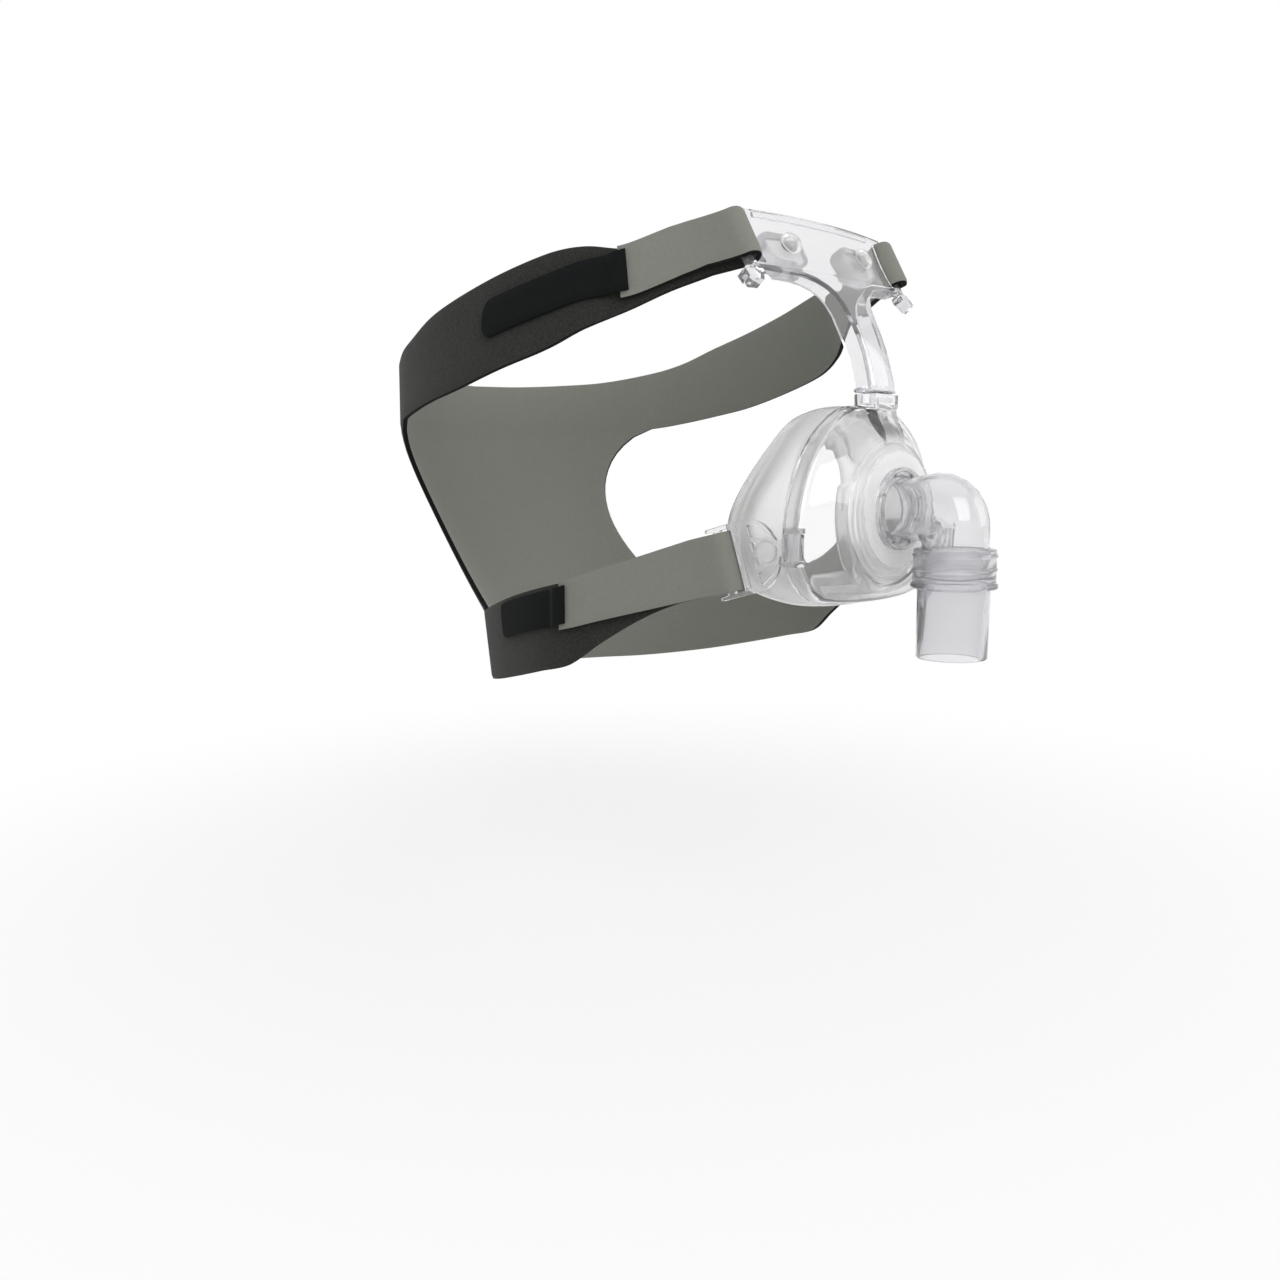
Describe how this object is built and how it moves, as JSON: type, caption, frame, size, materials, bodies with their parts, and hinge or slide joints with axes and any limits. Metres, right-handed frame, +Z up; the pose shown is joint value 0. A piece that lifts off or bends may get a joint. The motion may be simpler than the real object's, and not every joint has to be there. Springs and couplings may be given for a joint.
{
  "type": "nasal cpap mask",
  "caption": "Clear nasal mask with silicone cushion, swivelling elbow and hose cuff, forehead support, hinged strap clips and wide felt-like headgear with hook tabs.",
  "frame": {"origin": "centre of the cushion's opening for the face, on the axis of the elbow port", "axes": "+Z up along the wearer's face, +Y from the mask into the head, so the wearer faces -Y; +X to the wearer's left"},
  "size_m": [0.1592, 0.2688, 0.1659],
  "materials": {
    "clear_polycarbonate": "polished clear",
    "clear_silicone": "translucent, soft sheen",
    "loop_laminate": "napped loop cloth outside, smooth grey lining inside, foam core",
    "hook_tape": "fine hook tape"
  },
  "bodies": {
    "mask": {"frame_shell": "clear_polycarbonate", "cushion": "clear_silicone", "forehead_support": "clear_polycarbonate", "right_forehead_pad": "clear_silicone", "left_forehead_pad": "clear_silicone", "headgear": "loop_laminate", "upper_right_tab": "hook_tape", "upper_left_tab": "hook_tape", "lower_right_tab": "hook_tape", "lower_left_tab": "hook_tape"},
    "elbow": {"elbow": "clear_polycarbonate"},
    "cuff": {"swivel_cuff": "clear_polycarbonate"},
    "right_clip": {"right_strap_clip": "clear_polycarbonate"},
    "left_clip": {"left_strap_clip": "clear_polycarbonate"}
  },
  "joints": [
    {"name": "elbow_swivel", "type": "hinge", "parent": "mask", "child": "elbow", "pos_m": [0, -0.0407, 0], "axis": [0, 1, 0], "continuous": true},
    {"name": "cuff_swivel", "type": "hinge", "parent": "elbow", "child": "cuff", "pos_m": [0, -0.062, -0.0211], "axis": [0, 0, 1], "continuous": true},
    {"name": "right_clip_hinge", "type": "hinge", "parent": "mask", "child": "right_clip", "pos_m": [-0.0422, -0.032, -0.011], "axis": [0, 0, 1], "range_deg": [-8, 20], "deforming": ["headgear"]},
    {"name": "left_clip_hinge", "type": "hinge", "parent": "mask", "child": "left_clip", "pos_m": [0.0422, -0.032, -0.011], "axis": [0, 0, -1], "range_deg": [-8, 20], "deforming": ["headgear"]}
  ]
}
